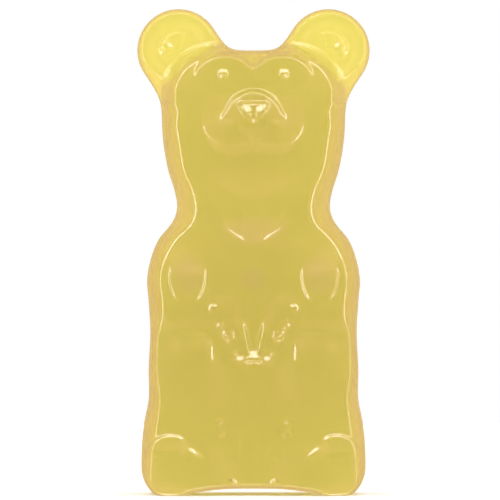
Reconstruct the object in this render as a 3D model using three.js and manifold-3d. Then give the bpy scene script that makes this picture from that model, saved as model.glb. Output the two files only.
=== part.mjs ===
// A giant novelty gummy bear, poured in one piece of fruit gel: it stands on its two feet, faces -Y, and its
// back is the flat face that the open mould left, slightly hollow where the gel sank as it set.
//
// The bear is a relief. frontDepth(x, z) is how far its front stands out from the plane of its back, over an
// outline that is a trunk with two ears, and it falls away to the sides through one rounded wall. The mesh
// follows the bear's own skeleton, a spine with a branch into each ear: rays run from the skeleton to the
// outline over the front, and back again over the back. The nose and the eyes are small solids joined on.
//
// Millimetres, +Z up. The origin is the middle of the bounding box's base.
import * as THREE from 'three';
import Module from 'manifold-3d';
import { mergeVertices } from 'three/addons/utils/BufferGeometryUtils.js';

// ---- Driving dimensions ----------------------------------------------------------------------------------
const HEIGHT = 241;
const DEPTH = 80;
const EAR = {
  x: 37.3, z: 220.4, radius: 20.6, rootX: 18.5, rootZ: 192.5, depth: 31, dish: 2.4, dishFloor: 9.5,
  dishRim: 16,
};
const HEAD_TOP = 220.4;
const HEAD_FRONT = {   // the face, in front of the ears: its outline, and the rounded side down to the ears
  halfWidth: 46, top: 223.4, round: 27, chin: 194, side: 11, sidePower: 2, foot: 1.6,
};
const EAR_BLEND = 8;

// Down the trunk, from the soles to the crown of the head: half its width, how far its middle stands out
// from the back before any limb or feature, and the width over which its side turns into its front.
const WIDTHS = [
  [-4, 55.7], [20, 55.8], [34, 54.6], [47, 52.2], [62, 52.2], [80, 51.4], [96, 52.3], [106, 53], [116, 51.3],
  [126, 47.4], [135, 40.4], [142, 38.1], [150, 39.2], [160, 42.3], [172, 44.6], [184, 45.6], [198, 45.3],
  [224, 45],
];
const DEPTHS = [
  [-4, 69], [20, 70], [40, 70.8], [60, 71.2], [84, 71.5], [104, 71.3], [113, 70.6], [121, 68.6], [129, 66],
  [137, 64.3], [146, 65], [158, 67.5], [170, 69], [186, 68], [200, 65], [210, 61.5], [218, 58], [226, 55],
];
const ROUNDS = [
  [-4, 2.6], [4, 3.4], [12, 5.5], [22, 6.5], [30, 8], [46, 7], [56, 5.5], [66, 4.8], [78, 4.8], [88, 7],
  [98, 8], [116, 8], [128, 11], [137, 12.8], [148, 11.5], [160, 9.6], [173, 9.9], [190, 9.2], [200, 8.8],
  [208, 7], [216, 3.6], [242, 3],
];
const SIDE_FALL = 2.5;     // how much lower the front is at the trunk's sides than at its middle
const WALL_POWER = 2.2;    // 2 rounds side into front by a quarter ellipse, more is squarer
const BACK_ROUND = 7;      // radius of the edge between back and side
const BACK_HOLLOW = { depth: 1.8, slope: 19 };   // how far the poured back sank, and over what width
const SOLE_CUT = 4;        // how much of the rounded underside the flat soles take off
const SOLE_BLEND = 1.5;    // how softly the soles meet the rounded sides of the feet
const CROTCH = { rise: 2.3, halfWidth: 26, power: 4, sole: [28, 44] };   // the arch, and where soles begin
const CORNER = { foot: 17, head: 9 };

// ---- Small functions -------------------------------------------------------------------------------------
const clamp01 = (t) => Math.min(Math.max(t, 0), 1);
const smoothstep = (a, b, t) => {
  const s = clamp01((t - a) / (b - a));
  return s * s * (3 - 2 * s);
};

// The larger of a and b, with a rounded joint where they differ by less than k.
function smoothMax(a, b, k) {
  const near = Math.max(k - Math.abs(a - b), 0) / k;
  return Math.max(a, b) + (near ** 3 * k) / 6;
}

// The smaller of a and b, with the same rounded joint.
const smoothMin = (a, b, k) => -smoothMax(-a, -b, k);

// A smooth curve through [position, value] stations, read at t: cubic, with each slope from its neighbours.
function profile(stations, t) {
  const last = stations.length - 1;
  let i = 0;
  while (i < last - 1 && t > stations[i + 1][0]) i += 1;
  const slope = (k) => {
    const [t0, v0] = stations[Math.max(k - 1, 0)];
    const [t1, v1] = stations[Math.min(k + 1, last)];
    return (v1 - v0) / (t1 - t0);
  };
  const [t0, v0] = stations[i];
  const [t1, v1] = stations[i + 1];
  const s = clamp01((t - t0) / (t1 - t0));
  const span = t1 - t0;
  return v0 * (1 + 2 * s) * (1 - s) ** 2 + v1 * s * s * (3 - 2 * s)
    + span * (slope(i) * s * (1 - s) ** 2 - slope(i + 1) * s * s * (1 - s));
}

// ---- The outline, seen from the front --------------------------------------------------------------------
// Distance in from two sides that meet at a corner of radius r, from the distances to each side.
function corner(a, b, r) {
  return r - Math.hypot(Math.max(r - a, 0), Math.max(r - b, 0)) + Math.max(Math.min(a, b) - r, 0);
}

// Distances in from the outline, for one half of the bear: x is never negative.
function trunkInset(x, z) {
  const side = profile(WIDTHS, z) - x;
  const arch = CROTCH.rise * Math.exp(-((x / CROTCH.halfWidth) ** CROTCH.power));
  const floor = z - arch + SOLE_CUT * smoothstep(...CROTCH.sole, x);
  const top = HEAD_TOP - z;
  return z < HEIGHT / 2 ? corner(side, floor, CORNER.foot) : corner(side, top, CORNER.head);
}

// A bar with round ends, or a circle where both its ends are one place.
function barInset(x, z, { from, to = from, radius }) {
  const along = new THREE.Vector2(to[0] - from[0], to[1] - from[1]);
  const t = clamp01(((x - from[0]) * along.x + (z - from[1]) * along.y) / (along.lengthSq() || 1));
  return radius - Math.hypot(x - from[0] - t * along.x, z - from[1] - t * along.y);
}

// The ear runs down into the head.
const EAR_BAR = { from: [EAR.x, EAR.z], to: [EAR.rootX, EAR.rootZ], radius: EAR.radius };
const earInset = (x, z) => barInset(x, z, EAR_BAR);

const inset = (x, z) => smoothMax(trunkInset(x, z), earInset(x, z), EAR_BLEND);

// ---- The relief ------------------------------------------------------------------------------------------
// A swell is a soft rise off the front: its outline, the height that it adds, and the width over which it
// reaches that height.
const SWELLS = {
  chin: { from: [0, 158], to: [0, 170], radius: 26, height: 1.6, width: 14 },
  arm: { from: [38, 106], to: [38, 92], radius: 18, height: 2.6, width: 14 },
  muscle: { from: [32.6, 112], to: [32.6, 104], radius: 9.5, height: 1.9, width: 4 },
  forearm: { from: [40, 90.6], to: [14, 90.5], radius: 13, height: 2, width: 11 },
  hand: { from: [16, 90], to: [8, 72], radius: 11, height: 3.4, width: 10 },
  thigh: { from: [31, 61], radius: 24, height: 4, width: 18 },
  foot: { from: [47, 11], to: [24, 7], radius: 22, height: 8, width: 22 },
  ball: { from: [37, 10.7], radius: 17, height: 2.4, width: 12 },
};
const LEG = { inner: 9, low: 8, high: 84, corner: 14, height: 3.2, width: 16 };

// A plate climbs off the front at a steepness and turns flat over a rounded rim, most of them a little domed.
const BROW = { from: [14.2, 202.5], radius: 16.6, top: 66, steep: 1.6, rim: 5 };
const MUZZLE = {
  halfWidth: 25.8, low: 167.6, high: 201, middle: 184, lowCorner: 15.5, highCorner: 14,
  top: 77.2, dome: 0.0107, domeZ: 186, steep: 0.44, rim: 2,
};
const BRIDGE = { from: [0, 186.6], radius: 15.2, top: 77.4, steep: 2.4, rim: 3 };
const PLATE_FOOT = 0.4;

// The hollow of the throat ends below in a V, and the elbow is cut away below and outside its line.
const THROAT = {
  z: 122.5, up: 0.83, out: 0.56, blunt: 5, slope: 7, depth: 6, wide: [30, 12], high: [160, 134],
};
const ELBOW = {
  x: 48.4, z: 99.4, out: 0.97, up: 0.24, slope: [2.6, -1.6], depth: 1.2, high: [106, 98], low: [70, 92],
};

function swell(x, z, { height, width, ...bar }) {
  return height * smoothstep(0, width, barInset(x, z, bar));
}

function plate(front, inside, top, { steep, rim }) {
  return smoothMax(front, smoothMin(front + steep * inside, top, rim), PLATE_FOOT);
}

// The head and body stand out far, the dished ears beside and above the face only a little.
function trunkAndEars(x, z) {
  const trunk = profile(DEPTHS, z) - SIDE_FALL * Math.min(x / profile(WIDTHS, z), 1.2) ** 3;
  const ear = EAR.depth - EAR.dish * smoothstep(EAR.dishRim, EAR.dishFloor, Math.hypot(x - EAR.x, z - EAR.z));
  const { halfWidth, top, round, chin, side, sidePower, foot } = HEAD_FRONT;
  const edge = round - Math.hypot(Math.max(x - halfWidth + round, 0), Math.max(z - top + round, 0));
  const inside = edge + Math.max(chin - z, 0);
  const level = Math.min((inside + Math.hypot(inside, foot)) / 2 / side, 1);
  return ear + (trunk - ear) * (1 - (1 - level) ** sidePower);
}

function face(front, x, z) {
  const brow = plate(front, barInset(x, z, BROW), BROW.top, BROW);
  const chin = brow + swell(x, z, SWELLS.chin);
  const { halfWidth, low, high, middle, lowCorner, highCorner, dome, domeZ } = MUZZLE;
  const muzzleInset = z < middle
    ? corner(halfWidth - x, z - low, lowCorner)
    : corner(halfWidth - x, high - z, highCorner);
  const fall = dome * (x ** 2 + (z - domeZ) ** 2);
  const muzzle = plate(chin, muzzleInset, MUZZLE.top - fall, MUZZLE);
  return plate(muzzle, barInset(x, z, BRIDGE), BRIDGE.top - fall, BRIDGE);
}

function throatDepth(x, z) {
  const side = THROAT.out * Math.hypot(x, THROAT.blunt);
  const above = clamp01((THROAT.up * (z - THROAT.z) - side) / THROAT.slope);
  return THROAT.depth * above * smoothstep(...THROAT.wide, x) * smoothstep(...THROAT.high, z);
}

function elbowDepth(x, z) {
  const inside = ELBOW.out * (ELBOW.x - x) + ELBOW.up * (z - ELBOW.z);
  return ELBOW.depth * smoothstep(...ELBOW.slope, inside) * smoothstep(...ELBOW.high, z)
    * smoothstep(...ELBOW.low, z);
}

function legRise(x, z) {
  const inside = corner(x - LEG.inner, Math.min(z - LEG.low, LEG.high - z), LEG.corner);
  return LEG.height * smoothstep(0, LEG.width, inside);
}

// How far the front stands out from the back's plane, before it falls away to the sides.
function crown(x, z) {
  const limbs = ['arm', 'muscle', 'forearm', 'hand', 'thigh', 'foot', 'ball'];
  const rise = limbs.reduce((sum, name) => sum + swell(x, z, SWELLS[name]), legRise(x, z));
  return face(trunkAndEars(x, z), x, z) + rise - throatDepth(x, z) - elbowDepth(x, z);
}

// The wall rises from the outline to the front. Its level is 0 at the outline and 1 where the front begins.
const wallLevel = (x, z) => inset(x, z) / profile(ROUNDS, z);
const wallShare = (level) => (1 - (1 - clamp01(level)) ** WALL_POWER) ** (1 / WALL_POWER);

const frontDepth = (x, z) => BACK_ROUND + (crown(x, z) - BACK_ROUND) * wallShare(wallLevel(x, z));

function backDepth(x, z) {
  const d = Math.max(inset(x, z), 0);
  const edge = BACK_ROUND - Math.sqrt(BACK_ROUND ** 2 - Math.max(BACK_ROUND - d, 0) ** 2);
  return edge + BACK_HOLLOW.depth * smoothstep(BACK_ROUND, BACK_ROUND + BACK_HOLLOW.slope, d);
}

// ---- The mesh --------------------------------------------------------------------------------------------
const SPINE_LOW = new THREE.Vector2(0, 39);
const SPINE_HIGH = new THREE.Vector2(0, 187);
const FOOT_CENTRE = new THREE.Vector2(33, 13);
const EAR_CENTRE = new THREE.Vector2(EAR.x, EAR.z);
const RAYS = { legSide: 9, footRound: 8, spine: 43, earSide: 16, earRound: 10 };
const ROWS = { front: 14, wall: 6, backEdge: 3, back: 2 };
const EAR_FAN_EASE = 2;   // turns the first rays towards the ear slowly, so that they don't cross
const EVENING_PASSES = 2;
const HALVINGS = 40;

// One half's rays, each a start on the skeleton and a direction, in order round the outline.
function halfRays() {
  const earAngle = EAR_CENTRE.clone().sub(SPINE_HIGH).angle();
  const quarter = Math.PI / 2;
  const rays = [];
  const fan = (count, start, end, from, to, ease = 1) => {
    for (let i = 0; i < count; i += 1) {
      const t = i / count;
      const angle = from + (to - from) * t ** ease;
      rays.push({
        from: start.clone().multiplyScalar(1 - t).addScaledVector(end, t),
        to: new THREE.Vector2(Math.cos(angle), Math.sin(angle)),
      });
    }
  };
  fan(RAYS.legSide, SPINE_LOW, FOOT_CENTRE, -quarter, -quarter);
  fan(RAYS.footRound, FOOT_CENTRE, FOOT_CENTRE, -quarter, 0);
  fan(RAYS.legSide, FOOT_CENTRE, SPINE_LOW, 0, 0);
  fan(RAYS.spine, SPINE_LOW, SPINE_HIGH, 0, 0);
  fan(RAYS.earSide, SPINE_HIGH, EAR_CENTRE, 0, earAngle - quarter, EAR_FAN_EASE);
  fan(RAYS.earRound, EAR_CENTRE, EAR_CENTRE, earAngle - quarter, earAngle + quarter);
  fan(RAYS.earSide, EAR_CENTRE, SPINE_HIGH, earAngle + quarter, quarter);
  rays.push({ from: SPINE_HIGH, to: new THREE.Vector2(0, 1) });
  return rays;
}

// How far along a ray a measure that shrinks towards the outline comes down to a wanted value.
function reach(ray, measure, wanted) {
  let low = 0;
  let high = HEIGHT;
  for (let i = 0; i < HALVINGS; i += 1) {
    const middle = (low + high) / 2;
    const { x, y } = ray.from.clone().addScaledVector(ray.to, middle);
    if (measure(Math.abs(x), y) > wanted) low = middle;
    else high = middle;
  }
  return low;
}

// A ray's points: over the front, down the wall, and back over the rounded edge and the back.
function rayPoints(ray) {
  const points = [];
  const put = (distance, depthAt) => {
    const { x, y: z } = ray.from.clone().addScaledVector(ray.to, distance);
    points.push([x, DEPTH / 2 - depthAt(Math.abs(x), z), smoothMax(z, 0, SOLE_BLEND)]);
  };
  const wallTop = reach(ray, wallLevel, 1);
  for (let i = 0; i < ROWS.front; i += 1) put((wallTop * i) / ROWS.front, frontDepth);
  for (let i = 0; i < ROWS.wall; i += 1) {
    const angle = (Math.PI / 2) * (i / ROWS.wall);
    put(reach(ray, wallLevel, 1 - Math.sin(angle) ** (2 / WALL_POWER)), frontDepth);
  }
  put(reach(ray, inset, 0), () => BACK_ROUND);
  for (let i = 1; i <= ROWS.backEdge; i += 1) {
    const angle = (Math.PI / 2) * (i / ROWS.backEdge);
    put(reach(ray, inset, BACK_ROUND * (1 - Math.cos(angle))), backDepth);
  }
  const edgeTop = reach(ray, inset, BACK_ROUND);
  for (let i = 1; i <= ROWS.back; i += 1) put(edgeTop * (1 - i / ROWS.back), backDepth);
  return points;
}

// Moves each of the front's points half way to the mean depth of its neighbours, which takes off the saw
// teeth that a steep side would have where it runs across the rays.
function evenFront(points, quads) {
  const sums = points.map(() => ({ depth: 0, count: 0 }));
  for (const quad of quads) {
    quad.forEach((corner, i) => {
      const neighbour = quad[(i + 1) % 4];
      for (const [to, from] of [[corner, neighbour], [neighbour, corner]]) {
        sums[to].depth += points[from][1];
        sums[to].count += 1;
      }
    });
  }
  for (const i of new Set(quads.flatMap(([a, , , d]) => [a, d]))) {
    points[i][1] = (points[i][1] + sums[i].depth / sums[i].count) / 2;
  }
}

// A quad's two triangles, divided by the diagonal whose middle lies nearer to the relief.
function quadTriangles(points, [a, b, c, d]) {
  const middle = (i, j) => points[i].map((value, axis) => (value + points[j][axis]) / 2);
  const [x, , z] = middle(a, c).map((value, axis) => (value + middle(b, d)[axis]) / 2);
  const wanted = DEPTH / 2 - frontDepth(Math.abs(x), z);
  const miss = (i, j) => Math.abs(middle(i, j)[1] - wanted);
  return miss(a, c) <= miss(b, d) ? [[a, b, c], [a, c, d]] : [[a, b, d], [b, c, d]];
}

function bearGeometry() {
  const right = halfRays().map(rayPoints);
  const left = right.slice(1, -1).reverse().map((points) => points.map(([x, y, z]) => [-x, y, z]));
  const strips = [...right, ...left];
  // Rays that start at the same place on the skeleton share their first and last points.
  const points = [];
  const shared = new Map();
  const numbers = strips.map((strip) => strip.map((point) => {
    const key = point.map((value) => value.toFixed(3)).join();
    if (!shared.has(key)) shared.set(key, points.push(point) - 1);
    return shared.get(key);
  }));
  const quads = numbers.flatMap((here, i) => {
    const next = numbers[(i + 1) % numbers.length];
    return here.slice(1).map((_, j) => [here[j], here[j + 1], next[j + 1], next[j]]);
  });
  const rows = strips[0].length - 1;
  const front = quads.filter((_, k) => k % rows < ROWS.front);
  for (let pass = 0; pass < EVENING_PASSES; pass += 1) evenFront(points, front);
  const triangles = quads.flatMap((quad, k) => {
    const [a, b, c, d] = quad;
    return k % rows < ROWS.front + ROWS.wall ? quadTriangles(points, quad) : [[a, b, c], [a, c, d]];
  }).filter(([a, b, c]) => a !== b && b !== c && c !== a);
  const geometry = new THREE.BufferGeometry();
  geometry.setAttribute('position', new THREE.Float32BufferAttribute(points.flat(), 3));
  geometry.setIndex(triangles.flat());
  return geometry;
}

// ---- Nose and eyes ---------------------------------------------------------------------------------------
const NOSE = {
  z: 188.4, depth: 79.6, halfWidth: 9.2, halfHeight: 7, corner: 3.4, length: 10, bevel: 2, lean: 0.08,
};
const EYE = { x: 15, z: 207.6, radius: 2.8, proud: 1.7 };

// The nose: a triangle with round corners, point down and leaning back, its front edge bevelled round.
function noseGeometry() {
  const half = NOSE.halfWidth - NOSE.bevel;
  const top = NOSE.halfHeight - NOSE.bevel;
  const cornerLow = top - NOSE.corner;
  const shape = new THREE.Shape();
  shape.moveTo(-half + NOSE.corner, top);
  shape.lineTo(half - NOSE.corner, top);
  shape.quadraticCurveTo(half, top, half - NOSE.corner / 4, cornerLow);
  shape.quadraticCurveTo(NOSE.corner, -top, 0, -top);
  shape.quadraticCurveTo(-NOSE.corner, -top, -half + NOSE.corner / 4, cornerLow);
  shape.quadraticCurveTo(-half, top, -half + NOSE.corner, top);
  const geometry = new THREE.ExtrudeGeometry(shape, {
    depth: NOSE.length - 2 * NOSE.bevel,
    bevelThickness: NOSE.bevel,
    bevelSize: NOSE.bevel,
    bevelSegments: 4,
    curveSegments: 6,
  });
  // The front of the extrusion comes to the origin, and its plane turns upright to face -Y.
  geometry.translate(0, 0, NOSE.bevel - NOSE.length);
  return geometry.rotateX(Math.PI / 2 - NOSE.lean).translate(0, DEPTH / 2 - NOSE.depth, NOSE.z);
}

function eyeGeometry(side) {
  const depth = frontDepth(EYE.x, EYE.z) + EYE.proud - EYE.radius;
  return new THREE.SphereGeometry(EYE.radius, 16, 12).translate(side * EYE.x, DEPTH / 2 - depth, EYE.z);
}

// ---- Joining ---------------------------------------------------------------------------------------------
const wasm = await Module();
wasm.setup();

function toManifold(geometry) {
  geometry.deleteAttribute('normal');
  geometry.deleteAttribute('uv');
  const merged = mergeVertices(geometry, 1e-3);
  return new wasm.Manifold(new wasm.Mesh({
    numProp: 3,
    vertProperties: merged.attributes.position.array,
    triVerts: merged.index.array,
  }));
}

function toGeometry(manifold) {
  const { vertProperties, triVerts } = manifold.getMesh();
  const geometry = new THREE.BufferGeometry();
  geometry.setAttribute('position', new THREE.BufferAttribute(vertProperties, 3));
  geometry.setIndex(new THREE.BufferAttribute(triVerts, 1));
  geometry.computeVertexNormals();
  return geometry;
}

let solid = toManifold(bearGeometry());
for (const feature of [noseGeometry(), eyeGeometry(-1), eyeGeometry(1)]) {
  solid = solid.add(toManifold(feature));
}

const bear = new THREE.Mesh(
  toGeometry(solid),
  new THREE.MeshStandardMaterial({ color: 0xd8bd5a, roughness: 0.12, metalness: 0 }),
);
bear.name = 'gummy_bear';

const group = new THREE.Group();
group.add(bear);
export default group;
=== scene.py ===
"""A giant novelty gummy bear, one piece of clear yellow fruit gel, standing on a pale table."""
import math

import bmesh
import bpy
import numpy as np
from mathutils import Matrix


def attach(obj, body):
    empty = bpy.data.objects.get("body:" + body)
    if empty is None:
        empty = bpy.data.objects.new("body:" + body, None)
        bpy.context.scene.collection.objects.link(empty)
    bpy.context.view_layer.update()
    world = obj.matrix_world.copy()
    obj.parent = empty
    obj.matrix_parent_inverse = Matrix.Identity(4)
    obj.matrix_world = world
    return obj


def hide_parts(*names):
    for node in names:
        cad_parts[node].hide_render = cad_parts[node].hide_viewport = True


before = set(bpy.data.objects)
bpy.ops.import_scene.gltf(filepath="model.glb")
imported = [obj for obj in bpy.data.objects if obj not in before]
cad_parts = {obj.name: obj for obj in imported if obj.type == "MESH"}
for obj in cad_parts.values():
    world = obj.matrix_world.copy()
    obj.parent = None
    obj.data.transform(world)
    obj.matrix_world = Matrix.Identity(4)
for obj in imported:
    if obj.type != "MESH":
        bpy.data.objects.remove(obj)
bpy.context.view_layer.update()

# ---- The outline ------------------------------------------------------------------------------------------
# Seen from the front the bear is a trunk with two ears, the opening of the mould that it was poured in. All
# its shapes are worked out in millimetres for x >= 0 and mirrored, and become metres in the mesh.
MM = 0.001
HEIGHT = 241
DEPTH = 80
HEAD_TOP = 220.4
EAR = dict(x=37.3, z=220.4, radius=20.6, root_x=18.5, root_z=192.5, blend=8)
CORNERS = dict(foot=17, head=9)
ARCH = dict(rise=2.3, half_width=26, power=4)
# Here and below, a pair such as begin is where a form starts and where it is full.
SOLES = dict(cut=4, begin=(28, 44), blend=1.5)
TRUNK_WIDTHS = np.array([
    (-4, 55.7), (20, 55.8), (34, 54.6), (47, 52.2), (62, 52.2), (80, 51.4), (96, 52.3), (106, 53.0),
    (116, 51.3), (126, 47.4), (135, 40.4), (142, 38.1), (150, 39.2), (160, 42.3), (172, 44.6), (184, 45.6),
    (198, 45.3), (224, 45.0),
])


def profile(stations, t):
    """A smooth curve through (position, value) stations: cubic Hermite, each slope from the neighbours."""
    at, value = stations[:, 0], stations[:, 1]
    slope = np.gradient(value)
    gap = np.gradient(at)
    i = np.clip(np.searchsorted(at, t) - 1, 0, len(at) - 2)
    span = at[i + 1] - at[i]
    s = np.clip((t - at[i]) / span, 0, 1)
    rise = span * (slope[i] / gap[i] * s * (1 - s) ** 2 - slope[i + 1] / gap[i + 1] * s * s * (1 - s))
    return value[i] * (1 + 2 * s) * (1 - s) ** 2 + value[i + 1] * s * s * (3 - 2 * s) + rise


def smoothstep(low, high, t):
    """0 on low's side and 1 on high's side, 3s^2 - 2s^3 between."""
    s = np.clip((t - low) / (high - low), 0, 1)
    return s * s * (3 - 2 * s)


def smooth_max(a, b, k):
    """The larger of a and b, lifted by k/6 of a cubic where they differ by less than k."""
    near = np.maximum(k - np.abs(a - b), 0) / k
    return np.maximum(a, b) + near ** 3 * k / 6


def corner_inset(a, b, r):
    """Distance in from two sides that meet at a corner of radius r, from the distances to each side."""
    outside = np.hypot(np.maximum(r - a, 0), np.maximum(r - b, 0))
    return r - outside + np.maximum(np.minimum(a, b) - r, 0)


def bar_inset(x, z, start, end, radius):
    """Distance in from a round-ended bar."""
    along_x, along_z = end[0] - start[0], end[1] - start[1]
    t = ((x - start[0]) * along_x + (z - start[1]) * along_z) / (along_x ** 2 + along_z ** 2)
    t = np.clip(t, 0, 1)
    return radius - np.hypot(x - start[0] - t * along_x, z - start[1] - t * along_z)


def trunk_inset(x, z):
    """Distance in from the trunk: its side, and the crown of the head or the soles with the arch between."""
    side = profile(TRUNK_WIDTHS, z) - x
    arch = ARCH["rise"] * np.exp(-(x / ARCH["half_width"]) ** ARCH["power"])
    underside = z - arch + SOLES["cut"] * smoothstep(*SOLES["begin"], x)
    low_half = corner_inset(side, underside, CORNERS["foot"])
    high_half = corner_inset(side, HEAD_TOP - z, CORNERS["head"])
    return np.where(z < HEIGHT / 2, low_half, high_half)


def ear_inset(x, z):
    """Distance in from the ear, a round-ended bar that runs down into the head."""
    return bar_inset(x, z, (EAR["x"], EAR["z"]), (EAR["root_x"], EAR["root_z"]), EAR["radius"])


def inset(x, z):
    """Distance in from the bear's outline, negative outside it."""
    return smooth_max(trunk_inset(x, z), ear_inset(x, z), EAR["blend"])


# ---- The head and body ------------------------------------------------------------------------------------
# The moulded front is a relief whose depth is measured from the plane of the back. Its ground is the trunk,
# thickest at the belly. Round the face the head drops over a rounded side to two thin dished ears.
TRUNK_DEPTHS = np.array([
    (-4, 69), (20, 70), (40, 70.8), (60, 71.2), (84, 71.5), (104, 71.3), (113, 70.6), (121, 68.6), (129, 66),
    (137, 64.3), (146, 65), (158, 67.5), (170, 69), (186, 68), (200, 65), (210, 61.5), (218, 58), (226, 55),
])
SIDE_FALL = dict(depth=2.5, power=3, limit=1.2)
HEAD_FRONT = dict(corner_x=19, corner_z=196.4, round=27, chin=194, foot=0.6, side=8, side_power=2.2)
EAR_DEPTH = 31
EAR_DISH = dict(depth=2.4, wall=(16, 9.5))
EAR_STEP = dict(rise=1.6, wall=(9.9, 8.1), out=0.53, up=0.85, ends=(0.4, 0.8))
EAR_MOUND = dict(x=43.8, z=221, half_width=3.4, half_height=4.5, rise=3.5)


def ear_depth(x, z):
    """An even depth, less a round dish, plus a step in its upper outer part and a bell beside its middle."""
    off_x, off_z = x - EAR["x"], z - EAR["z"]
    from_middle = np.hypot(off_x, off_z)
    dish = EAR_DISH["depth"] * smoothstep(*EAR_DISH["wall"], from_middle)
    facing = (EAR_STEP["out"] * off_x + EAR_STEP["up"] * off_z) / np.maximum(from_middle, 1)
    step = smoothstep(*EAR_STEP["ends"], facing) * smoothstep(*EAR_STEP["wall"], from_middle)
    mound_x = (x - EAR_MOUND["x"]) / EAR_MOUND["half_width"]
    mound_z = (z - EAR_MOUND["z"]) / EAR_MOUND["half_height"]
    mound = EAR_MOUND["rise"] * np.exp(-mound_x ** 2 - mound_z ** 2)
    return EAR_DEPTH - dish + EAR_STEP["rise"] * step + mound


def head_and_body(x, z):
    """The trunk's depth by height, lower at its sides by a cube, and a rounded drop round the face."""
    across = np.minimum(x / profile(TRUNK_WIDTHS, z), SIDE_FALL["limit"])
    trunk = profile(TRUNK_DEPTHS, z) - SIDE_FALL["depth"] * across ** SIDE_FALL["power"]
    past_x = np.maximum(x - HEAD_FRONT["corner_x"], 0)
    past_z = np.maximum(z - HEAD_FRONT["corner_z"], 0)
    inside = HEAD_FRONT["round"] - np.hypot(past_x, past_z) + np.maximum(HEAD_FRONT["chin"] - z, 0)
    inside = (inside + np.hypot(inside, HEAD_FRONT["foot"])) / 2
    share = 1 - (1 - np.minimum(inside / HEAD_FRONT["side"], 1)) ** HEAD_FRONT["side_power"]
    ear = ear_depth(x, z)
    return ear + (trunk - ear) * share


# ---- The face ---------------------------------------------------------------------------------------------
# A round plate over each eye with a notch between the two, the chin, and the domed muzzle that carries the
# bridge of the nose. The mould gives each plate steep sides and a tight rim, which catches the light.
BROW = dict(x=14.2, z=202.5, radius=16.6, blunt=2, steep=3.2, rim=5)
BROW_TOP = dict(depth=66, z=204, lean=0.06, curve=0.016, inner=12, outer=14, inner_high=(204, 211))
BROW_NOTCH = dict(low=210.5, height=6.5, steep=1.35, wide=(6, 1))
CHIN = dict(z=131, radius=26, squash=0.8, height=1.6, width=14)
MUZZLE = dict(half_width=25.8, low=167.6, high=201, middle=184, low_corner=15.5, high_corner=14)
MUZZLE_SIDE = dict(steep=0.44, eased=0.2, upper=(182, 190), rim=2, foot=0.3)
MUZZLE_CLEFT = dict(rise=1.6, half_width=3.5)
SNOUT_DOME = dict(depth=77.2, curve=0.0107, muzzle_z=186, bridge_z=185)
JOWL = dict(half_width=24.8, low=172.4, corner=12)
JOWL_LINE = dict(height=0.34, edge=(-0.35, 0.35), wide=(9, 2), high=(186, 180))
BRIDGE = dict(z=186.2, radius=14.4, steep=4, rim=1.5, foot=0.1)
BRIDGE_FOOT = dict(z=183, radius=8, squash=0.43, blend=3)
BRIDGE_FALL = dict(curve=0.008, side=6, side_steep=0.3, low=182, low_steep=0.35)


def smooth_min(a, b, k):
    """The smaller of a and b, rounded off as smooth_max rounds the larger."""
    return -smooth_max(-a, -b, k)


def circle_inset(x, z, at, radius):
    """Distance in from a circle."""
    return radius - np.hypot(x - at[0], z - at[1])


def plate(front, inside, top, steep, rim, foot=0.4):
    """A plate on the front: from its edge it climbs at a steepness and turns flat over a rounded rim."""
    return smooth_max(front, smooth_min(front + steep * inside, top, rim), foot)


def swell(inside, height, width):
    """A soft rise, which reaches its height at a width in from its edge."""
    return height * smoothstep(0, width, inside)


def snout_dome(x, z, middle_z):
    """The depth of a dome on the middle line: it falls by the square of the distance from its middle."""
    return SNOUT_DOME["depth"] - SNOUT_DOME["curve"] * (x ** 2 + (z - middle_z) ** 2)


def brows(front, x, z):
    """A round plate over each eye, its top falling by a square to both sides, and the notch between."""
    notch = BROW_NOTCH["steep"] * np.clip(z - BROW_NOTCH["low"], 0, BROW_NOTCH["height"])
    front = front - notch * smoothstep(*BROW_NOTCH["wide"], x)
    to_side = np.maximum(x - BROW_TOP["outer"], 0) ** 2
    to_middle = np.maximum(BROW_TOP["inner"] - x, 0) ** 2 * smoothstep(*BROW_TOP["inner_high"], z)
    top = BROW_TOP["depth"] + BROW_TOP["lean"] * (z - BROW_TOP["z"])
    top = top - BROW_TOP["curve"] * (to_side + to_middle)
    inside = circle_inset(np.sqrt(x * x + BROW["blunt"]), z, (BROW["x"], BROW["z"]), BROW["radius"])
    return plate(front, inside, top, BROW["steep"], BROW["rim"])


def muzzle(front, x, z):
    """The chin's swell, and the muzzle's plate with a cleft in its lower edge and a low line inside it."""
    chin = circle_inset(x, z * CHIN["squash"], (0, CHIN["z"]), CHIN["radius"])
    front = front + swell(chin, CHIN["height"], CHIN["width"])
    cleft = MUZZLE_CLEFT["rise"] * np.exp(-(x / MUZZLE_CLEFT["half_width"]) ** 2)
    side = MUZZLE["half_width"] - x
    below = corner_inset(side, z - MUZZLE["low"] - cleft, MUZZLE["low_corner"])
    above = corner_inset(side, MUZZLE["high"] - z, MUZZLE["high_corner"])
    inside = np.where(z < MUZZLE["middle"], below, above)
    steep = MUZZLE_SIDE["steep"] - MUZZLE_SIDE["eased"] * smoothstep(*MUZZLE_SIDE["upper"], z)
    top = snout_dome(x, z, SNOUT_DOME["muzzle_z"])
    front = plate(front, inside, top, steep, MUZZLE_SIDE["rim"], MUZZLE_SIDE["foot"])
    jowl = corner_inset(JOWL["half_width"] - x, z - JOWL["low"] - cleft, JOWL["corner"])
    line = JOWL_LINE["height"] * smoothstep(*JOWL_LINE["edge"], jowl)
    return front + line * smoothstep(*JOWL_LINE["wide"], jowl) * smoothstep(*JOWL_LINE["high"], z)


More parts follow.
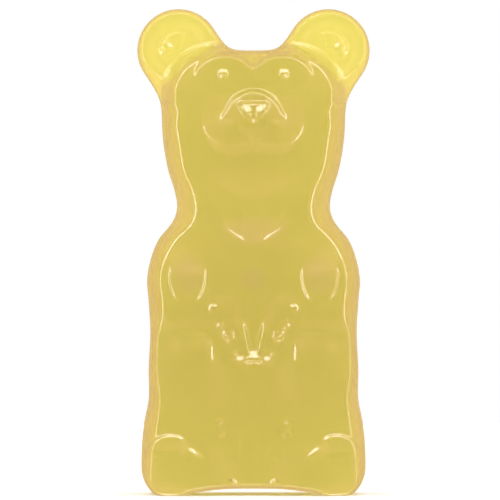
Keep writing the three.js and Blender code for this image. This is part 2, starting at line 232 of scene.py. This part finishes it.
def bridge(front, x, z):
    """A round plate with a broader foot, domed like the muzzle, but falling faster up, down and aside."""
    arch = circle_inset(x, z, (0, BRIDGE["z"]), BRIDGE["radius"])
    foot = circle_inset(BRIDGE_FOOT["squash"] * x, z, (0, BRIDGE_FOOT["z"]), BRIDGE_FOOT["radius"])
    inside = smooth_max(arch, foot, BRIDGE_FOOT["blend"])
    top = snout_dome(x, z, SNOUT_DOME["bridge_z"])
    top = top - BRIDGE_FALL["curve"] * np.maximum(z - SNOUT_DOME["bridge_z"], 0) ** 2
    top = top - BRIDGE_FALL["side_steep"] * np.maximum(x - BRIDGE_FALL["side"], 0)
    top = top - BRIDGE_FALL["low_steep"] * np.maximum(BRIDGE_FALL["low"] - z, 0)
    return plate(front, inside, top, BRIDGE["steep"], BRIDGE["rim"], BRIDGE["foot"])


# ---- The throat and the arms ------------------------------------------------------------------------------
# The chest is hollow at the throat, down to a V whose sides have a short sharp edge. The upper arms lie
# along the sides with a round muscle on each and a cut elbow, and the forearms run in over the belly.
THROAT = dict(z=120, up=0.83, out=0.56, blunt=6, slope=18, depth=4.5, wide=(34, 12), high=(166, 138))
THROAT_EDGE = dict(
    up=0.833, out=0.552, level=102.5, depth=0.5, edge=(-0.8, 0.8), inner=(3, 6), outer=(16, 12),
    high=(146, 136),
)
UPPER_ARM = dict(start=(38, 106), end=(38, 92), radius=18)
UPPER_ARM_SWELL = dict(height=2.6, width=14)
MUSCLE = dict(x=32.6, z=108, half_width=9.3, half_height=14, height=1.9, high=(115, 106), low=(93, 101))
MUSCLE_SIDE = dict(steep=2.4, rim=1.6, foot=0.2)
ELBOW = dict(x=48.4, z=99.4, out=0.97, up=0.24, slope=(2.6, -1.6), depth=1.2, high=(106, 98), low=(84, 94))
FOREARM = dict(start=(40, 90.6), end=(14, 90.5), radius=13)
FOREARM_SWELL = dict(height=2, width=11)


def throat(front, x, z):
    """A hollow that deepens evenly above a blunted V, and a small step down along the V's two sides."""
    above = THROAT["up"] * (z - THROAT["z"]) - THROAT["out"] * np.hypot(x, THROAT["blunt"])
    hollow = THROAT["depth"] * np.clip(above / THROAT["slope"], 0, 1)
    front = front - hollow * smoothstep(*THROAT["wide"], x) * smoothstep(*THROAT["high"], z)
    above = THROAT_EDGE["up"] * z - THROAT_EDGE["out"] * x - THROAT_EDGE["level"]
    step = THROAT_EDGE["depth"] * smoothstep(*THROAT_EDGE["edge"], above)
    step = step * smoothstep(*THROAT_EDGE["inner"], x) * smoothstep(*THROAT_EDGE["outer"], x)
    return front - step * smoothstep(*THROAT_EDGE["high"], z)


def arms(front, x, z):
    """Two swells, the muscle's oval plate, which follows the form below it, and a cut past the elbow."""
    front = front + swell(bar_inset(x, z, **UPPER_ARM), **UPPER_ARM_SWELL)
    off_x, off_z = x - MUSCLE["x"], z - MUSCLE["z"]
    from_muscle = np.hypot(off_x / MUSCLE["half_width"], off_z / MUSCLE["half_height"])
    rise = MUSCLE["height"] * smoothstep(*MUSCLE["high"], z) * smoothstep(*MUSCLE["low"], z)
    front = plate(front, MUSCLE["half_width"] * (1 - from_muscle), front + rise, **MUSCLE_SIDE)
    inside = ELBOW["out"] * (ELBOW["x"] - x) + ELBOW["up"] * (z - ELBOW["z"])
    cut = ELBOW["depth"] * smoothstep(*ELBOW["slope"], inside)
    front = front - cut * smoothstep(*ELBOW["high"], z) * smoothstep(*ELBOW["low"], z)
    return front + swell(bar_inset(x, z, **FOREARM), **FOREARM_SWELL)


# ---- The hands --------------------------------------------------------------------------------------------
# Two paws that almost meet on the belly. Each has four low knuckles in a slanting row and a steep inner
# edge, and where the two meet at the bottom the mould cut a small sloping facet.
PALM = dict(start=(16, 90), end=(8, 72), radius=11)
PALM_SWELL = dict(height=2, width=11)
INNER_EDGE = dict(
    x=2.4, z=78, out=0.98, up=0.2, height=1.9, edge=(-0.4, 1.8), wide=(15, 4), high=(88, 80), low=(62, 70),
)
FINGERS = 4
KNUCKLE = dict(x=20, z=91.8, next_x=-4.4, next_z=-7.3, radius_squared=8, height=0.9, power=1.2)
FACET = dict(depth=73.2, z=70.6, steep=0.82, wide=(4, 3.1), low=(65.8, 67))


def hands(front, x, z):
    """The palm's swell, a step up at its inner edge, a dome for each knuckle, and the sloping facet."""
    front = front + swell(bar_inset(x, z, **PALM), **PALM_SWELL)
    inside = INNER_EDGE["out"] * (x - INNER_EDGE["x"]) - INNER_EDGE["up"] * (z - INNER_EDGE["z"])
    step = INNER_EDGE["height"] * smoothstep(*INNER_EDGE["edge"], inside)
    step = step * smoothstep(*INNER_EDGE["wide"], inside)
    front = front + step * smoothstep(*INNER_EDGE["high"], z) * smoothstep(*INNER_EDGE["low"], z)
    for i in range(FINGERS):
        at_x, at_z = KNUCKLE["x"] + KNUCKLE["next_x"] * i, KNUCKLE["z"] + KNUCKLE["next_z"] * i
        bump = 1 - ((x - at_x) ** 2 + (z - at_z) ** 2) / KNUCKLE["radius_squared"]
        front = front + KNUCKLE["height"] * np.maximum(bump, 0) ** KNUCKLE["power"]
    facet = FACET["depth"] + FACET["steep"] * (FACET["z"] - z)
    raised = np.maximum(facet - front, 0) * smoothstep(*FACET["wide"], x)
    return front + raised * smoothstep(*FACET["low"], z)


# ---- The legs and the belly -------------------------------------------------------------------------------
# Short thick legs with round thighs, and feet that point forwards and show the balls of their soles. Along
# their inner sides are small knobs and short steps, and a small round belly stands between them.
LEG = dict(low=(9, 8), high=(110, 84), radius=14)
LEG_SWELL = dict(height=2.4, width=16)
THIGH = dict(at=(31, 61), radius=24)
THIGH_SWELL = dict(height=3, width=18)
FOLD = dict(z=81.2, slope=2.2, height=1.1, low=(58, 76), outer=(42, 34), inner=(20, 27))
FOOT = dict(start=(47, 11), end=(24, 7), radius=22)
FOOT_SWELL = dict(height=6.8, width=22)
FOOT_CAP = dict(at=(41, 17), radius=12.9)
FOOT_CAP_STEP = dict(height=2, edge=(-1, 1), wide=(31, 38), high=(17, 22))
BALL = dict(x=37, z=10.7, radius=17)
BALL_SWELL = dict(height=1.2, width=12)
BALL_RIM = dict(height=1.1, edge=(14.3, 12.9), wide=(34, 30), high=(15, 20))
SMALL_KNOBS = [   # each knob's middle, its height and its radius
    ((10.3, 6.5), 1.3, 2.2), ((15.8, 3.9), 1.0, 1.6), ((17.2, 36.2), 1.1, 1.9), ((17.9, 32.6), 0.9, 1.6),
    ((15.4, 30.2), 1.1, 1.9),
]
KNOB_POWER = 1.3
SHORT_STEPS = [(6.6, 19, 27), (20.4, 67.6, 72.1)]   # each step's x, and the heights that it runs between
STEP = dict(height=0.7, edge=(-0.5, 0.4), behind=(8, 2), low=(-3, 0.5), high=(6, -0.5))
BELLY = dict(z=48.7, half_width=7.6, half_height=8.6, height=1.5, power=1.2)


def box_inset(x, z, low, high, radius):
    """Distance in from an upright box with round corners, given by two opposite corners."""
    return corner_inset(np.minimum(x - low[0], high[0] - x), np.minimum(z - low[1], high[1] - z), radius)


def legs(front, x, z):
    """The swells of leg, thigh, foot and ball, the fold above the thigh, and two low steps on the foot."""
    front = front + swell(box_inset(x, z, **LEG), **LEG_SWELL)
    front = front + swell(circle_inset(x, z, **THIGH), **THIGH_SWELL)
    fold = FOLD["height"] * np.clip((FOLD["z"] - z) / FOLD["slope"], 0, 1) * smoothstep(*FOLD["low"], z)
    front = front + fold * smoothstep(*FOLD["outer"], x) * smoothstep(*FOLD["inner"], x)
    front = front + swell(bar_inset(x, z, **FOOT), **FOOT_SWELL)
    cap = smoothstep(*FOOT_CAP_STEP["edge"], circle_inset(x, z, **FOOT_CAP))
    cap = cap * smoothstep(*FOOT_CAP_STEP["wide"], x) * smoothstep(*FOOT_CAP_STEP["high"], z)
    from_ball = np.hypot(x - BALL["x"], z - BALL["z"])
    rim = smoothstep(*BALL_RIM["edge"], from_ball) * smoothstep(*BALL_RIM["wide"], x)
    front = front + FOOT_CAP_STEP["height"] * cap + swell(BALL["radius"] - from_ball, **BALL_SWELL)
    return front + BALL_RIM["height"] * rim * smoothstep(*BALL_RIM["high"], z)


def knobs_and_belly(front, x, z):
    """A power of 1 - r^2 for each knob and the belly, and short upright steps that fade at both ends."""
    for at, height, radius in SMALL_KNOBS:
        bump = 1 - ((x - at[0]) ** 2 + (z - at[1]) ** 2) / radius ** 2
        front = front + height * np.maximum(bump, 0) ** KNOB_POWER
    for at_x, low, high in SHORT_STEPS:
        step = smoothstep(*STEP["edge"], x - at_x) * smoothstep(*STEP["behind"], x - at_x)
        ends = smoothstep(*STEP["low"], z - low) * smoothstep(*STEP["high"], z - high)
        front = front + STEP["height"] * step * ends
    belly = 1 - (x / BELLY["half_width"]) ** 2 - ((z - BELLY["z"]) / BELLY["half_height"]) ** 2
    return front + BELLY["height"] * np.maximum(belly, 0) ** BELLY["power"]


# ---- The eyes, the fingertips and the nose ----------------------------------------------------------------
# The smallest forms of the mould, sharp enough to glint. The eyes and three fingertips of each hand are
# beads with a level ridge, and the nose is a raised triangle, point down, with two nostrils.
BEADS = [   # each bead's middle, and half its length and height
    ((15, 207.9), 2.1, 2.5), ((19.7, 92.5), 2, 1), ((14.5, 85.8), 1.5, 1), ((12.2, 79.3), 2.3, 2.4),
]
BEAD_ROOF = dict(above=0.86, below=0.76, fade_out=0.5, full=0.3)
NOSE = dict(point=182.4, up=0.73, out=0.685, blunt=1.5, top=194.2, half_width=8.2, corner=4)
NOSE_RIM = dict(steep=1.7, height=2.6, round=1.6, foot=0.2)
NOSTRIL = dict(x=2.9, top=191.8, slope=3, low=(186.6, 188.4), wide=(2, 1.2), height=1.9)


def beads(front, x, z):
    """For each bead the lower of two slopes, which rise from its top and bottom edges to a level ridge."""
    for at, half_length, half_height in BEADS:
        above, below = at[1] + half_height - z, z - at[1] + half_height
        roof = np.maximum(np.minimum(BEAD_ROOF["above"] * above, BEAD_ROOF["below"] * below), 0)
        ends = (half_length + BEAD_ROOF["fade_out"], half_length - BEAD_ROOF["full"])
        front = front + roof * smoothstep(*ends, np.abs(x - at[0]))
    return front


def nose(front, x, z):
    """A rise from three sides with round corners to an even height, and a ramp either side for a nostril."""
    side = NOSE["up"] * (z - NOSE["point"]) - NOSE["out"] * np.sqrt(x * x + NOSE["blunt"])
    across = smooth_min(NOSE["top"] - z, NOSE["half_width"] - x, NOSE["corner"])
    inside = smooth_min(across, side, NOSE["corner"])
    rise = smooth_min(NOSE_RIM["steep"] * inside, NOSE_RIM["height"], NOSE_RIM["round"])
    top = smooth_max(front, front + rise, NOSE_RIM["foot"])
    ramp = np.clip((NOSTRIL["top"] - z) / NOSTRIL["slope"], 0, 1) * smoothstep(*NOSTRIL["low"], z)
    return top + NOSTRIL["height"] * ramp * smoothstep(*NOSTRIL["wide"], np.abs(x - NOSTRIL["x"]))


# ---- The skin ---------------------------------------------------------------------------------------------
# One closed surface. The front falls away to the outline through a rounded wall, and the poured back sank a
# little as the gel set. Rays run from the bear's skeleton, a spine with a branch into each leg and ear, out
# over the front to the outline, and back again over the back.
WALL_ROUNDS = np.array([
    (-4, 2.6), (4, 3.4), (12, 5.5), (22, 6.5), (30, 8), (46, 7), (56, 5.5), (66, 4.8), (78, 4.8), (88, 7),
    (98, 8), (116, 8), (128, 11), (137, 12.8), (148, 11.5), (160, 9.6), (173, 9.9), (183, 9.1), (189.6, 9.8),
    (193, 8.3), (200, 8.8), (208, 7), (216, 3.6), (242, 3),
])
WALL_POWER = 2.2
BACK_ROUND = 7
BACK_HOLLOW = dict(depth=1.8, slope=(7, 26))
SPINE_LOW, SPINE_HIGH = np.array([0.0, 39.0]), np.array([0.0, 187.0])
FOOT_CENTRE, EAR_CENTRE = np.array([33.0, 13.0]), np.array([EAR["x"], EAR["z"]])
RAYS = dict(leg_side=32, foot_round=24, spine=152, ear_side=60, ear_round=28)
ROWS = dict(front=80, wall=26, back_edge=9, back=12)
HALVINGS = 36


def wall_level(x, z):
    """0 at the outline and 1 where the wall has become the front."""
    return inset(x, z) / profile(WALL_ROUNDS, z)


def front_depth(x, z):
    """The front's depth, times the height of the rounded wall: a quarter of a superellipse of WALL_POWER."""
    front = head_and_body(x, z)
    for form in (brows, muzzle, bridge, throat, arms, hands, legs, knobs_and_belly, beads, nose):
        front = form(front, x, z)
    share = (1 - (1 - np.clip(wall_level(x, z), 0, 1)) ** WALL_POWER) ** (1 / WALL_POWER)
    return BACK_ROUND + (front - BACK_ROUND) * share


def back_depth(x, z):
    """The poured back: a quarter-round edge, then slightly hollow where the gel sank as it set."""
    d = np.maximum(inset(x, z), 0)
    edge = BACK_ROUND - np.sqrt(BACK_ROUND ** 2 - np.maximum(BACK_ROUND - d, 0) ** 2)
    return edge + BACK_HOLLOW["depth"] * smoothstep(*BACK_HOLLOW["slope"], d)


def half_rays():
    """Starts on the skeleton and unit directions, in order round the right half of the outline."""
    starts, angles = [], []

    def fan(count, start, end, first, last, ease=1):
        t = np.arange(count)[:, None] / count
        starts.append(start * (1 - t) + end * t)
        angles.append((first + (last - first) * t ** ease)[:, 0])

    quarter = math.pi / 2
    ear_angle = math.atan2(*(EAR_CENTRE - SPINE_HIGH)[::-1])
    fan(RAYS["leg_side"], SPINE_LOW, FOOT_CENTRE, -quarter, -quarter)
    fan(RAYS["foot_round"], FOOT_CENTRE, FOOT_CENTRE, -quarter, 0)
    fan(RAYS["leg_side"], FOOT_CENTRE, SPINE_LOW, 0, 0)
    fan(RAYS["spine"], SPINE_LOW, SPINE_HIGH, 0, 0)
    fan(RAYS["ear_side"], SPINE_HIGH, EAR_CENTRE, 0, ear_angle - quarter, ease=2)
    fan(RAYS["ear_round"], EAR_CENTRE, EAR_CENTRE, ear_angle - quarter, ear_angle + quarter)
    fan(RAYS["ear_side"], EAR_CENTRE, SPINE_HIGH, ear_angle + quarter, quarter)
    fan(1, SPINE_HIGH, SPINE_HIGH, quarter, quarter)
    angle = np.concatenate(angles)
    return np.concatenate(starts), np.stack([np.cos(angle), np.sin(angle)], axis=1)


def reach(starts, ways, measure, wanted):
    """How far along each ray a measure that shrinks outwards comes down to a wanted value, by halving."""
    low, high = np.zeros(len(starts)), np.full(len(starts), float(HEIGHT))
    for _ in range(HALVINGS):
        middle = (low + high) / 2
        at = starts + ways * middle[:, None]
        inside = measure(np.abs(at[:, 0]), at[:, 1]) > wanted
        low, high = np.where(inside, middle, low), np.where(inside, high, middle)
    return low


def skin_points():
    """The right half's points, rays by rows: over the front, down the wall, round the edge to the back."""
    starts, ways = half_rays()
    wall_top = reach(starts, ways, wall_level, 1)
    edge_top = reach(starts, ways, inset, BACK_ROUND)
    level = 1 - np.sin(math.pi / 2 * np.arange(ROWS["wall"]) / ROWS["wall"]) ** (2 / WALL_POWER)
    edge = BACK_ROUND * (1 - np.cos(math.pi / 2 * np.arange(1, ROWS["back_edge"] + 1) / ROWS["back_edge"]))
    front = wall_top[:, None] * np.arange(ROWS["front"]) / ROWS["front"]
    wall = np.stack([reach(starts, ways, wall_level, w) for w in level], axis=1)
    rim = reach(starts, ways, inset, 0)[:, None]
    back_edge = np.stack([reach(starts, ways, inset, w) for w in edge], axis=1)
    back = edge_top[:, None] * (1 - np.arange(1, ROWS["back"] + 1) / ROWS["back"])
    along = np.concatenate([front, wall, rim, back_edge, back], axis=1)
    x = starts[:, :1] + ways[:, :1] * along
    z = starts[:, 1:] + ways[:, 1:] * along
    front_rows = ROWS["front"] + ROWS["wall"]
    depth = np.where(np.arange(along.shape[1]) < front_rows, front_depth(x, z), back_depth(x, z))
    depth[:, front_rows] = BACK_ROUND
    return np.stack([x, DEPTH / 2 - depth, smooth_max(z, np.zeros_like(z), SOLES["blend"])], axis=2)


def ring_of_quads(points):
    """A mesh from strips that close into a ring, its shared and repeated points merged."""
    strips, rows = points.shape[:2]
    here = np.arange(strips)[:, None] * rows + np.arange(rows - 1)
    across = (np.arange(strips)[:, None] + 1) % strips * rows + np.arange(rows - 1)
    quads = np.stack([here, here + 1, across + 1, across], axis=2).reshape(-1, 4)
    mesh = bpy.data.meshes.new("gummy_bear_gel")
    mesh.from_pydata(points.reshape(-1, 3).tolist(), [], quads.tolist())
    shell = bmesh.new()
    shell.from_mesh(mesh)
    bmesh.ops.remove_doubles(shell, verts=shell.verts, dist=1e-6)
    shell.to_mesh(mesh)
    shell.free()
    mesh.shade_smooth()
    return mesh


right = skin_points()
left = right[-2:0:-1] * (-1, 1, 1)
bear = bpy.data.objects.new("gummy_bear_gel", ring_of_quads(np.concatenate([right, left]) * MM))
bpy.context.collection.objects.link(bear)
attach(bear, "root")
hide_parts("gummy_bear")


# ---- The gel ----------------------------------------------------------------------------------------------
# Clear fruit gel with a hard gloss. Its skin tints the light yellow, and on the chest, the throat and the
# upper arms a painted rosy reflection is laid into that colour. A little haze inside spreads it, and the
# thick body dulls it more than the thin ears do.
LEMON_YELLOW = (0.965, 0.865, 0.165, 1)
WARM_YELLOW = (0.985, 0.835, 0.185, 1)
# The rosy yellow below is a painted reflection, put into the skin's colour in patches on the chest, the
# throat and the upper arms.
PAINTED_ROSY_REFLECTION = (1, 0.805, 0.25, 1)
PAINTED_REFLECTION_PATCHES = [   # each patch's centre and its half size, in metres
    ((0, -0.031, 0.107), (0.0085, 0.02, 0.0085)), ((0, -0.024, 0.131), (0.02, 0.02, 0.009)),
    ((-0.0325, -0.031, 0.108), (0.011, 0.02, 0.013)), ((0.0325, -0.031, 0.108), (0.011, 0.02, 0.013)),
]


def yellow_gel():
    """A tinted refracting skin under a clear gloss, round a hazy and faintly dulling volume."""
    gel = bpy.data.materials.new("yellow_gel")
    gel.use_nodes = True
    nodes, links = gel.node_tree.nodes, gel.node_tree.links
    surface = nodes["Principled BSDF"]
    surface.inputs["Transmission Weight"].default_value = 1
    surface.inputs["IOR"].default_value = 1.15
    surface.inputs["Coat Weight"].default_value = 1
    surface.inputs["Coat Roughness"].default_value = 0.03
    surface.inputs["Coat IOR"].default_value = 1.5

    place = nodes.new("ShaderNodeTexCoord")

    def cloud(size, detail):
        """Soft clouds of a size in metres, from 0 to 1."""
        noise = nodes.new("ShaderNodeTexNoise")
        noise.inputs["Scale"].default_value = 1 / size
        noise.inputs["Detail"].default_value = detail
        links.new(place.outputs["Object"], noise.inputs["Vector"])
        return noise.outputs["Fac"]

    def mixed(first, second, factor):
        """One colour giving way to another by a factor."""
        mix = nodes.new("ShaderNodeMix")
        mix.data_type = "RGBA"
        for socket, colour in ((mix.inputs["A"], first), (mix.inputs["B"], second)):
            if isinstance(colour, tuple):
                socket.default_value = colour
            else:
                links.new(colour, socket)
        links.new(factor, mix.inputs["Factor"])
        return mix.outputs["Result"]

    def patch(centre, half_size):
        """1 about a centre, and from 0.4 of a half size outwards falling smoothly to 0 at the half size."""
        offset = place.outputs["Object"]
        for operation, by in (("SUBTRACT", centre), ("DIVIDE", half_size), ("LENGTH", None)):
            step = nodes.new("ShaderNodeVectorMath")
            step.operation = operation
            links.new(offset, step.inputs[0])
            if by:
                step.inputs[1].default_value = by
            offset = step.outputs["Value" if operation == "LENGTH" else "Vector"]
        fade = nodes.new("ShaderNodeMapRange")
        fade.interpolation_type = "SMOOTHSTEP"
        fade.inputs["From Min"].default_value = 1
        fade.inputs["From Max"].default_value = 0.4
        links.new(offset, fade.inputs["Value"])
        return fade.outputs["Result"]

    tint = mixed(WARM_YELLOW, LEMON_YELLOW, cloud(size=0.03, detail=2))
    # Each patch mixes in the painted rosy reflection.
    for centre, half_size in PAINTED_REFLECTION_PATCHES:
        tint = mixed(tint, PAINTED_ROSY_REFLECTION, patch(centre, half_size))
    links.new(tint, surface.inputs["Base Color"])

    frost = nodes.new("ShaderNodeMapRange")
    frost.inputs["To Min"].default_value = 0.28
    frost.inputs["To Max"].default_value = 0.38
    links.new(cloud(size=0.012, detail=3), frost.inputs["Value"])
    links.new(frost.outputs["Result"], surface.inputs["Roughness"])

    ripple = nodes.new("ShaderNodeBump")
    ripple.inputs["Distance"].default_value = 0.0004
    ripple.inputs["Strength"].default_value = 0.2
    links.new(cloud(size=0.014, detail=1), ripple.inputs["Height"])
    links.new(ripple.outputs["Normal"], surface.inputs["Normal"])
    links.new(ripple.outputs["Normal"], surface.inputs["Coat Normal"])

    scatter = nodes.new("ShaderNodeVolumeScatter")
    scatter.inputs["Color"].default_value = (1, 1, 1, 1)
    scatter.inputs["Density"].default_value = 15
    absorption = nodes.new("ShaderNodeVolumeAbsorption")
    absorption.inputs["Color"].default_value = (0.41, 0.29, 0.2, 1)
    absorption.inputs["Density"].default_value = 10
    both = nodes.new("ShaderNodeAddShader")
    links.new(scatter.outputs["Volume"], both.inputs[0])
    links.new(absorption.outputs["Volume"], both.inputs[1])
    links.new(both.outputs["Shader"], nodes["Material Output"].inputs["Volume"])
    return gel


bear.data.materials.append(yellow_gel())

# ---- The table --------------------------------------------------------------------------------------------
# Plain white. Only the camera sees it, so that light also comes up into the gel from below.
TABLE_HALF = 2.0
corners = [(-TABLE_HALF, -TABLE_HALF, 0), (TABLE_HALF, -TABLE_HALF, 0)]
corners += [(TABLE_HALF, TABLE_HALF, 0), (-TABLE_HALF, TABLE_HALF, 0)]
table_mesh = bpy.data.meshes.new("table")
table_mesh.from_pydata(corners, [], [(0, 1, 2, 3)])
table = bpy.data.objects.new("table", table_mesh)
bpy.context.collection.objects.link(table)
for kind in ("shadow", "transmission", "glossy", "volume_scatter", "diffuse"):
    setattr(table, "visible_" + kind, False)
white = bpy.data.materials.new("white_table")
white.use_nodes = True
white.node_tree.nodes["Principled BSDF"].inputs["Base Color"].default_value = (1, 1, 1, 1)
white.node_tree.nodes["Principled BSDF"].inputs["Roughness"].default_value = 0.9
table_mesh.materials.append(white)

# ---- The light --------------------------------------------------------------------------------------------
# A white room, even from all sides. The gloss mirrors another: dark in front and rosy behind, with a soft
# light at either side, one above and one below, which draw thin lines along the tight rims.
ROOM_LIGHT = (1.28, 1.28, 1.28, 1)
ROOM_SEEN = (1, 1, 1, 1)
ROOM_COLOURS = [   # from the front, -1, to the back, 1
    (-1.0, (0, 0, 0)), (-0.85, (0.1, 0.05, 0.04)), (-0.5, (1.5, 0.5, 0.45)), (0.0, (1.5, 0.55, 0.48)),
    (0.6, (1.13, 0.56, 0.34)), (1.0, (0.7, 0.48, 0.2)),
]
SOFT_LIGHTS = [
    dict(bearing=-78, height=8, half_width=0.13, half_length=0.72, strength=8),
    dict(bearing=78, height=8, half_width=0.13, half_length=0.72, strength=8),
    dict(bearing=0, height=78, half_width=0.6, half_length=0.15, strength=9),
    dict(bearing=0, height=-78, half_width=0.45, half_length=0.13, strength=8),
]
EDGE_BLUR = 0.04
world = bpy.data.worlds.new("white_room")
world.use_nodes = True
world.cycles.sampling_method = "NONE"
nodes, links = world.node_tree.nodes, world.node_tree.links
direction = nodes.new("ShaderNodeTexCoord").outputs["Generated"]


def world_node(kind, *values, **settings):
    """A node of the world with its settings made, and its inputs linked or set in order."""
    node = nodes.new(kind)
    for name, value in settings.items():
        setattr(node, name, value)
    for socket, value in zip(node.inputs, values):
        if isinstance(value, bpy.types.NodeSocket):
            links.new(value, socket)
        else:
            socket.default_value = value
    return node


def along(axis):
    """How far the direction looked in lies along an axis."""
    return world_node("ShaderNodeVectorMath", direction, axis, operation="DOT_PRODUCT").outputs["Value"]


def soft_light(bearing, height, half_width, half_length, strength):
    """The light of a rectangle with blurred edges, seen at a bearing from the front and a height."""
    turn, lift = math.radians(bearing), math.radians(height)
    ahead = np.array([math.sin(turn) * math.cos(lift), -math.cos(turn) * math.cos(lift), math.sin(lift)])
    across = np.array([math.cos(turn), math.sin(turn), 0])
    light = world_node("ShaderNodeMath", along(ahead), 0.0, operation="GREATER_THAN").outputs[0]
    for axis, half in ((across, half_width), (np.cross(across, ahead), half_length)):
        off = world_node("ShaderNodeMath", along(axis), operation="ABSOLUTE").outputs[0]
        outer, inner = half + EDGE_BLUR, half - EDGE_BLUR
        edge = world_node("ShaderNodeMapRange", off, outer, inner, interpolation_type="SMOOTHSTEP")
        light = world_node("ShaderNodeMath", light, edge.outputs[0], operation="MULTIPLY").outputs[0]
    return world_node("ShaderNodeMath", light, strength, operation="MULTIPLY").outputs[0]


depth_share = world_node("ShaderNodeMapRange", along((0, 1, 0)), -1.0, 1.0).outputs[0]
room = world_node("ShaderNodeValToRGB", depth_share)
while len(room.color_ramp.elements) < len(ROOM_COLOURS):
    room.color_ramp.elements.new(0.5)
for stop, (at, colour) in zip(room.color_ramp.elements, ROOM_COLOURS):
    stop.position = (at + 1) / 2
    stop.color = (*colour, 1)
mirrored = room.outputs["Color"]
for light in SOFT_LIGHTS:
    mirrored = world_node("ShaderNodeVectorMath", mirrored, soft_light(**light), operation="ADD").outputs[0]

path = nodes.new("ShaderNodeLightPath").outputs
gloss = world_node("ShaderNodeMath", path["Is Reflection Ray"], path["Is Glossy Ray"], operation="MULTIPLY")
even = world_node("ShaderNodeBackground", ROOM_LIGHT)
shine = world_node("ShaderNodeBackground", mirrored)
seen = world_node("ShaderNodeBackground", ROOM_SEEN)
lit = world_node("ShaderNodeMixShader", gloss.outputs[0], even.outputs[0], shine.outputs[0])
whole = world_node("ShaderNodeMixShader", path["Is Camera Ray"], lit.outputs[0], seen.outputs[0])
links.new(whole.outputs[0], nodes["World Output"].inputs["Surface"])
bpy.context.scene.world = world
bpy.context.scene.view_settings.view_transform = "Standard"
bpy.context.scene.cycles.volume_bounces = 8
bpy.context.scene.cycles.max_bounces = 16


# ---- The camera -------------------------------------------------------------------------------------------
# Level, straight in front of the bear and far off behind a very long lens, so its walls show no perspective.
CAMERA_DISTANCE = 5.0
VIEW_HEIGHT = 0.24845
AIM = dict(x=-0.00174, y=0.015, z=0.121)
camera_data = bpy.data.cameras.new("camera")
camera_data.sensor_width = 36
camera_data.lens = camera_data.sensor_width * CAMERA_DISTANCE / VIEW_HEIGHT
camera_data.clip_end = 50
camera = bpy.data.objects.new("camera", camera_data)
camera.location = (AIM["x"], AIM["y"] - CAMERA_DISTANCE, AIM["z"])
camera.rotation_euler = (math.pi / 2, 0, 0)
bpy.context.collection.objects.link(camera)
bpy.context.scene.camera = camera
